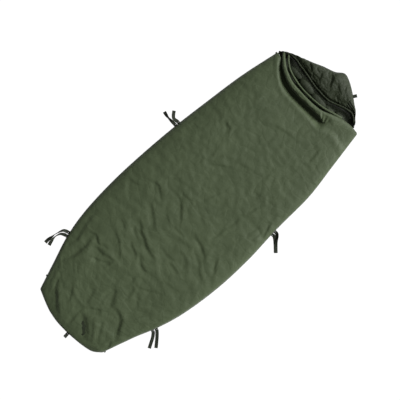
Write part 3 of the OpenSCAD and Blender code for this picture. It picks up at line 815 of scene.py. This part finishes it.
def collar(name, hem_name, stations, sides, creases, replaced, seed):
    """A padded roll with a stitched hem along its head side."""
    path = spaced(curve(stations, np.linspace(0, 1, 400)), COLLAR_STEP)
    line, half_w, half_h = path[:, :3], path[:, 3], path[:, 4]
    a = angles(sides)
    run = np.arange(len(line)) * COLLAR_STEP
    far, around = np.meshgrid(run, a, indexing="ij")
    pucker = 0.05 * (noise(far, around * 0.03, 0.020, seed) + noise(far, around * 0.02, 0.055, seed + 1))
    lean = 1 - 0.06 * np.cos(a)
    section = oval(half_w, half_h, sides, 3.0)
    section[..., 1] *= np.where(np.sin(a) > 0, lean, 1)
    rings = swept(line, section * (1 + pucker[..., None]))
    top = ease(3 * np.sin(a))
    rings[..., 2] += top * creased(rings[..., 0], rings[..., 1], creases)
    piece = tube_piece(name, rings, 0.0008, material=SHELL, replaces=(replaced,))
    bend_at_neck(piece)
    _, side, up = directions(line)
    hem = line - side * (half_w * 0.97)[:, None] + up * (half_h * 0.30)[:, None]
    hem[:, 2] += 0.0012 * waver(run, 0.03, seed + 2)
    hem[:, 1] += 0.0012 * waver(run, 0.045, seed + 3)
    fat = 0.0026 * (1 + 0.12 * waver(run, 0.014, seed + 4))
    rings = swept(hem, oval(fat, fat * 0.85, 10, 2.3))
    bend_at_neck(tube_piece(hem_name, rings, material=SHELL))
    row = hem + up * 0.0021 + side * 0.0010
    bend_at_neck(stitches(f"{hem_name}_stitches", row[4:-4], None, thick=0.00035))


# ---- the hood ----

# Folds in the crown: points, half width, depth and lip
CROWN_CREASES = [
    ([(-0.25, 1.046), (-0.19, 1.046), (-0.13, 1.034), (-0.08, 1.04), (-0.03, 1.028), (0, 1.012)],
     0.0065, 0.009, 0.5),
    ([(-0.185, 1.06), (-0.14, 1.05), (-0.095, 1.052), (-0.04, 1.048), (-0.012, 1.03)], 0.0055, 0.006, 0.5),
    ([(-0.15, 1.09), (-0.128, 1.07), (-0.105, 1.058)], 0.006, 0.005, 0.6),
    ([(0, 1.14), (0.016, 1.105), (0.04, 1.06)], 0.013, 0.01, 0.4),
    ([(0.048, 1.03), (0.07, 1.055), (0.098, 1.085)], 0.007, 0.007, 0.5),
    ([(0.055, 1.12), (0.085, 1.1), (0.12, 1.085)], 0.009, 0.005, 0.4),
    ([(0.08, 1.022), (0.13, 1.032), (0.17, 1.05), (0.21, 1.06)], 0.007, 0.008, -0.6),
    ([(0.18, 1.094), (0.235, 1.082), (0.282, 1.06)], 0.0045, 0.012, 0.9),
    ([(0.18, 1.08), (0.24, 1.07), (0.288, 1.048)], 0.0045, 0.012, 0.9),
    ([(0.185, 1.063), (0.245, 1.06), (0.295, 1.036)], 0.0045, 0.012, 0.9),
    ([(-0.06, 1.1), (-0.05, 1.07), (-0.03, 1.05)], 0.008, 0.004, 0.4),
    ([(-0.01, 1.17), (0, 1.14), (-0.01, 1.1)], 0.009, 0.004, 0.4),
    ([(-0.21, 1.075), (-0.18, 1.072), (-0.14, 1.098)], 0.006, 0.004, 0.4),
    ([(0.11, 1.15), (0.12, 1.12), (0.15, 1.095)], 0.008, 0.004, 0.4),
]


def brim_line(u):
    """The hood's edge in the mouth, a little uneven."""
    line = curve(BRIM_EDGE, u)
    x, y = line[..., 0], line[..., 1]
    return np.stack([x, y + 0.0035 * noise(x, 0 * x, 0.055, 66) * ease(6 * np.minimum(u, 1 - u))], -1)


def brim_z(u):
    return EDGE_Z + BRIM_LOFT * arch(u) * (1 + 0.10 * noise(u, 0 * u, 0.12, 67))


def crown_surface(u, v):
    """Place on the crown: u from left to right, v from the brim to the outer edge."""
    at = lerp(brim_line(u), curve(HOOD_EDGE, u), v[..., None])
    fold = 0.012 * np.exp(-(v / 0.045) ** 2) * arch(u)
    z = lerp(brim_z(u), 0.0045, v ** 6) + CROWN_BULGE * np.sin(math.pi * v ** 1.3) * arch(u) - fold
    return at[..., 0], at[..., 1], z


def hood_crown():
    """The outer cloth of the hood, gathered at the brim and folded behind it."""
    uu, vv = np.meshgrid(np.linspace(0.02, 0.98, 190), np.linspace(0, 0.985, 64))
    x, y, z = crown_surface(uu, vv)
    gathers = noise(uu * 0.62, 0.15 * vv, 0.011, 61) * np.exp(-5 * vv)
    puckers = noise(uu * 0.72, 0.2 * vv, 0.012, 62) * np.exp(-9 * (1 - vv))
    inside = np.minimum(1, 14 * np.minimum(uu - 0.01, 0.99 - uu)) * np.minimum(1, 10 * (1 - vv))
    z = z + 0.0022 * gathers + 0.0016 * puckers * inside
    z = z + inside * (0.8 * creased(x, y, CROWN_CREASES) + 0.0022 * noise(x, y, 0.075, 63)
                      + 0.0017 * (ridges(x, y, 0.05, 64) - 0.6))
    z = np.maximum(z, 0.003)
    # the crown's darker nylon is painted shade
    piece = sheet_piece("crown_panel", x, y, z, material=HOOD_PAINTED_SHADE,
                        replaces=("hood_crown", "hood_crown_wadding"))
    border = (vv > 0.97) | (vv < 0.01) | (uu < 0.025) | (uu > 0.975)
    settle(piece, np.where(border, 1, 0.10).ravel(), 0.02, 16, 0.006)
    thicken(piece, SHELL_T)
    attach(piece, "hood")


def crown_lining():
    uu, vv = np.meshgrid(np.linspace(0.08, 0.92, 70), np.linspace(0.02, 0.74, 26))
    x, y, z = crown_surface(uu, vv)
    z = np.maximum(z - 0.0095 - 0.002 * ridges(x, y, 0.05, 65), 0.0125)
    piece = sheet_piece("crown_lining", x, y, z, material=LINING_PAINTED_SHADE, body="hood",
                        replaces=("hood_crown_lining",))
    thicken(piece, LINING_T)


def brim():
    """The hem tube along the hood's edge, bunched up by the elastic inside it."""
    u = np.linspace(0.015, 0.985, 500)
    line = brim_line(u)
    path = spaced(np.column_stack([line[:, 0], line[:, 1] - 0.0060, brim_z(u) - 0.001]), BRIM_STEP)
    sides = 18
    run, a = np.meshgrid(np.arange(len(path)) * BRIM_STEP, angles(sides), indexing="ij")
    bunch = 0.16 * noise(run, 0.006 * np.cos(a), 0.0085, 71) + 0.10 * noise(run, 0.01 * a, 0.03, 72)
    ends = ease(18 * np.minimum(np.linspace(0, 1, len(path)), np.linspace(1, 0, len(path))) + 0.35)
    section = oval(0.0054 * ends, 0.0056 * ends, sides, 2.2) * (1 + bunch[..., None])
    # the brim's darker nylon is painted shade
    tube_piece("brim_hem", swept(path, section), 0.002, material=HOOD_PAINTED_SHADE, body="hood",
               replaces=("brim_channel",))
    row = path + directions(path)[1] * -0.0042
    row[:, 2] += 0.0052
    stitches("brim_stitches", row[6:-6], "hood", thick=0.00035)


# ---- tie tapes ----

TAPE_W = 0.021
TAPE_T = 0.0012
STUB = 0.0055
TIE_START = 0.006
TIE_SIDE = 0.012
LEFT_SHOULDER = ((-0.4337, 0.25), 175)
RIGHT_SHOULDER = ((0.4395, 0.2173), 3.2)
LEFT_LEG = ((-0.4063, -0.686), 194.4)
RIGHT_LEG = ((0.3657, -0.7037), -19.9)
FOOT_MIDDLE = ((0.024, -1.0972), -86.4)
HOOD_TAB = ((0.178, 1.136), 58)

# Each tie: where it is sewn, its side of the pair, and stations of out, across, lift and roll
# in degrees after the sewn end
TIES = {
    "left_shoulder_tie_a": (LEFT_SHOULDER, 1, [
        (0.012, 0.001, 0.001, 4), (0.036, 0.004, 0.003, 38), (0.056, 0.006, 0.004, 60),
        (0.08, 0.005, 0.002, 28), (0.102, 0.002, 0, 0)]),
    "left_shoulder_tie_b": (LEFT_SHOULDER, -1, [
        (0.012, 0.002, 0.001, 0), (0.03, 0.007, 0.004, -14), (0.043, 0.003, 0.005, -16),
        (0.057, -0.009, 0.003, -6), (0.071, -0.024, 0, 2)]),
    "right_shoulder_tie_a": (RIGHT_SHOULDER, -1, [
        (0.012, 0, 0.001, 0), (0.03, -0.012, 0.001, 4), (0.058, -0.038, 0.001, 2),
        (0.086, -0.066, 0, 0)]),
    "right_shoulder_tie_b": (RIGHT_SHOULDER, 1, [
        (0.012, -0.001, 0.001, -10), (0.026, -0.013, 0.009, -44),
        (0.044, -0.042, 0.005, -20), (0.066, -0.066, 0.0022, 0), (0.089, -0.09, 0.0018, 0)]),
    "left_leg_tie_a": (LEFT_LEG, 1, [
        (0.012, 0, 0.001, 8), (0.034, 0.008, 0.002, 50), (0.0505, 0.0326, 0.002, 78),
        (0.057, 0.052, 0.001, 62), (0.059, 0.078, 0.001, 22), (0.058, 0.103, 0, 0)]),
    "left_leg_tie_b": (LEFT_LEG, -1, [
        (0.012, 0, 0.001, -6), (0.034, 0.008, 0.004, -45), (0.0585, 0.046, 0.003, -78),
        (0.0675, 0.07, 0.002, -58), (0.08, 0.1, 0.001, -18), (0.086, 0.125, 0, 0)]),
    "right_leg_tie_a": (RIGHT_LEG, -1, [
        (0.012, -0.003, 0.001, 0), (0.034, -0.016, 0.002, 4), (0.06, -0.038, 0.002, 5),
        (0.087, -0.062, 0, 0)]),
    "right_leg_tie_b": (RIGHT_LEG, 1, [
        (0.012, -0.002, 0.001, 0), (0.04, -0.014, 0.003, -5), (0.07, -0.03, 0.003, -6),
        (0.102, -0.048, 0, 0)]),
    "foot_tie": (FOOT_MIDDLE, 0, [
        (0.008, 0, 0.0006, 4), (0.016, 0.0004, 0.002, 10), (0.025, 0, 0.003, 16)]),
}


def placed(points, pair):
    """Points from a tie's own frame, with +X out of the sack, to the sack's."""
    (x, y), degrees = pair
    c, s = math.cos(math.radians(degrees)), math.sin(math.radians(degrees))
    points = np.asarray(points, float)
    turned = points[..., 0:1] * (c, s) + points[..., 1:2] * (-s, c) + (x, y)
    return np.concatenate([turned, points[..., 2:3]], -1)


def tape_section(width, count):
    """A flat woven tape's section, with slightly thicker woven edges."""
    half = width / 2
    across = np.array([1, 0.93, 0.85, 0.4, 0, -0.4, -0.85, -0.93, -1])
    thick = np.array([0.25, 0.62, 0.5, 0.5, 0.5, 0.5, 0.5, 0.62, 0.25]) * TAPE_T
    top = np.stack([across * half, thick], -1)
    low = np.stack([across[::-1] * half, -thick[::-1]], -1)
    return np.broadcast_to(np.concatenate([top, low]), (count, 18, 2))


def tape_path(pair, side, stations):
    """A tape's middle line and its roll, kept clear of the ground."""
    stations = np.array([(0, 0, 0, 0), *stations], float)
    t = np.linspace(0, 1, 90)
    smooth = spaced(curve(stations, t), 0.0022)
    roll = np.radians(smooth[:, 3])
    height = TAPE_T * 0.7 + np.maximum(0, smooth[:, 2]) + np.abs(np.sin(roll)) * TAPE_W / 2
    local = np.column_stack([TIE_START + smooth[:, 0], side * TIE_SIDE + smooth[:, 1], height])
    return placed(local, pair), roll


def across_row(path, roll, at):
    """A row of points straight across the top of a tape, at one point of its path."""
    _, side, up = directions(path)
    turn = roll[at]
    right = side[at] * math.cos(turn) + up[at] * math.sin(turn)
    top = up[at] * math.cos(turn) - side[at] * math.sin(turn)
    return path[at] + right * np.linspace(-0.42, 0.42, 12)[:, None] * TAPE_W + top * TAPE_T


def tie(name, pair, side, stations):
    path, roll = tape_path(pair, side, stations)
    hem = np.clip(np.arange(len(path)) - (len(path) - 7), 0, 1)
    section = tape_section(TAPE_W, len(path)).copy()
    section[..., 1] *= (1 + 0.8 * hem)[:, None]
    tube_piece(f"{name}_tape", swept(path, section, roll), LOWEST, material=TAPE, body=name,
               replaces=(name,))
    row = across_row(path, roll, len(path) - 5)
    stitches(f"{name}_stitches", row, name, pitch=0.0024, length=0.0019, thick=0.00035)


def stub_tapes():
    """The ties' sewn ends, each held by a row of stitches."""
    pairs = (LEFT_SHOULDER, RIGHT_SHOULDER, LEFT_LEG, RIGHT_LEG)
    places = [(pair, side) for pair in pairs for side in (1, -1)]
    for number, (pair, side) in enumerate(places + [(FOOT_MIDDLE, 0)], 1):
        middle = [(x, side * TIE_SIDE, TAPE_T * 0.7) for x in np.linspace(-0.010, STUB, 10)]
        rings = swept(placed(middle, pair), tape_section(TAPE_W, 10))
        tube_piece(f"tie_stub_{number}", rings, material=TAPE, body="sack",
                   replaces=("tie_anchors",) if number == 1 else ())
        across = np.linspace(-0.42, 0.42, 12) * TAPE_W + side * TIE_SIDE
        row = placed(np.column_stack([np.full(12, 0.0030), across, np.full(12, TAPE_T + 0.0002)]), pair)
        stitches(f"tie_stub_{number}_stitches", row, "sack", pitch=0.0022, length=0.0018, thick=0.00035)


def hood_tab():
    """A short loop of tape folded over on itself."""
    run = np.linspace(0, math.pi, 14)
    bend = np.column_stack([0.0180 + 0.0022 * np.sin(run), 0 * run, 0.0033 - 0.0022 * np.cos(run)])
    low = np.column_stack([np.linspace(-0.006, 0.017, 10), np.zeros(10), np.full(10, 0.0011)])
    high = np.column_stack([np.linspace(0.017, -0.006, 10), np.zeros(10), np.linspace(0.0055, 0.0048, 10)])
    path = placed(np.concatenate([low, bend, high]), HOOD_TAB)
    along = directions(path)[0]
    turn = math.radians(HOOD_TAB[1])
    level = np.array((-math.sin(turn), math.cos(turn), 0))
    up = np.cross(along, level)
    section = tape_section(TAPE_W * 0.95, len(path))
    rings = path[:, None] - level * section[..., :1] + up[:, None] * section[..., 1:]
    tube_piece("hood_tab_loop", rings, material=TAPE, replaces=("hood_tab",), body="hood")


# ---- the side zip ----

ZIP_HEAD = (0.3495, 0.968)
ZIP_ANGLE = 9
ZIP_LENGTH = 0.440
COIL_PITCH = 0.0022


def zip_placed(points):
    return placed(points, (ZIP_HEAD, ZIP_ANGLE))


def zip_cloth(name, bottom, top, node_name, seed):
    """An upright strip of zip tape, slightly wavy, with a thicker woven edge."""
    y = np.linspace(-ZIP_LENGTH, 0, 150)
    wave = 0.0004 * noise(y, 0 * y, 0.05, seed)
    rows = [(half + wave, lerp(bottom, top, share))
            for share, half in ((0, 0.0007), (0.25, 0.0004), (0.75, 0.0004), (1, 0.0007))]
    outside = [np.column_stack([x, y, np.full_like(y, z)]) for x, z in rows]
    inside = [np.column_stack([-0.0008 + 2 * wave - x, y, np.full_like(y, z)]) for x, z in reversed(rows)]
    rings = zip_placed(np.stack(outside + inside, 1))
    tube_piece(name, rings, material=ZIP_CLOTH, replaces=(node_name,), body="sack")


def zip_coil(name, middle, node_name, phase):
    """A row of zip teeth, wound from one filament."""
    turns = int(ZIP_LENGTH / COIL_PITCH)
    t = np.linspace(0, turns, turns * 10 + 1)
    a = 2 * math.pi * (t + phase)
    path = zip_placed(np.column_stack([0.00105 * np.cos(a), -ZIP_LENGTH + t * COIL_PITCH,
                                       middle + 0.00080 * np.sin(a)]))
    tube_piece(name, swept(path, oval(0.00034, 0.00034, 5)), material=TEETH, body="sack",
               replaces=(node_name,))


def side_zip():
    zip_cloth("lower_zip_tape", 0.0015, 0.0048, "zip_tape_lower", 81)
    zip_cloth("upper_zip_tape", 0.0102, 0.0140, "zip_tape_upper", 82)
    zip_coil("lower_zip_teeth", 0.0056, "zip_coil_lower", 0.0)
    zip_coil("upper_zip_teeth", 0.0094, "zip_coil_upper", 0.5)
    t = np.linspace(0.742, 1, 120)
    edge = curve(RIGHT_SIDE, t)
    rise = EDGE_Z - 0.0008 + ZIP_RISE * ease((t - ZIP_START_V + 0.06) / 0.06)
    corner = np.array([(0.350, 0.996, 0.0148), (0.332, 0.998, 0.0165), (0.316, 0.999, 0.0180)])
    path = spaced(np.concatenate([np.column_stack([edge, rise]), corner]), HEM_STEP)
    path = beside(path, -0.0030)
    run = np.arange(len(path)) * HEM_STEP
    fat = 0.0030 * (1 + 0.10 * waver(run, 0.014, 83))
    tube_piece("zip_edge_hem", swept(path, oval(fat, fat * 0.85, 12, 2.4)), material=BINDING, body="sack")
    row = beside(path, -0.0008)
    row[:, 2] += 0.0026
    stitches("zip_edge_stitches", row, "sack")


def dress_cad_nodes():
    """Finishes for the hard parts, whose CAD shapes are kept."""
    for name, material in (("zip_slider", METAL), ("zip_pull", METAL), ("zip_end_stop", METAL),
                           ("brim_elastic", ELASTIC)):
        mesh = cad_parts[name].data
        mesh.materials.clear()
        mesh.materials.append(material)


sack_top()
seam_tapes()
bar_tacks()
ground_cloths()
floor_lining()
top_lining()
collar("chest_collar_roll", "chest_collar_hem", CHEST_COLLAR, 40, COLLAR_CREASES, "chest_collar", 91)
collar("draft_collar_roll", "draft_collar_hem", DRAFT_COLLAR, 28, [], "draft_collar", 95)
hood_crown()
crown_lining()
brim()
for tie_name, (tie_place, tie_side, tie_stations) in TIES.items():
    tie(tie_name, tie_place, tie_side, tie_stations)
stub_tapes()
hood_tab()
side_zip()
dress_cad_nodes()
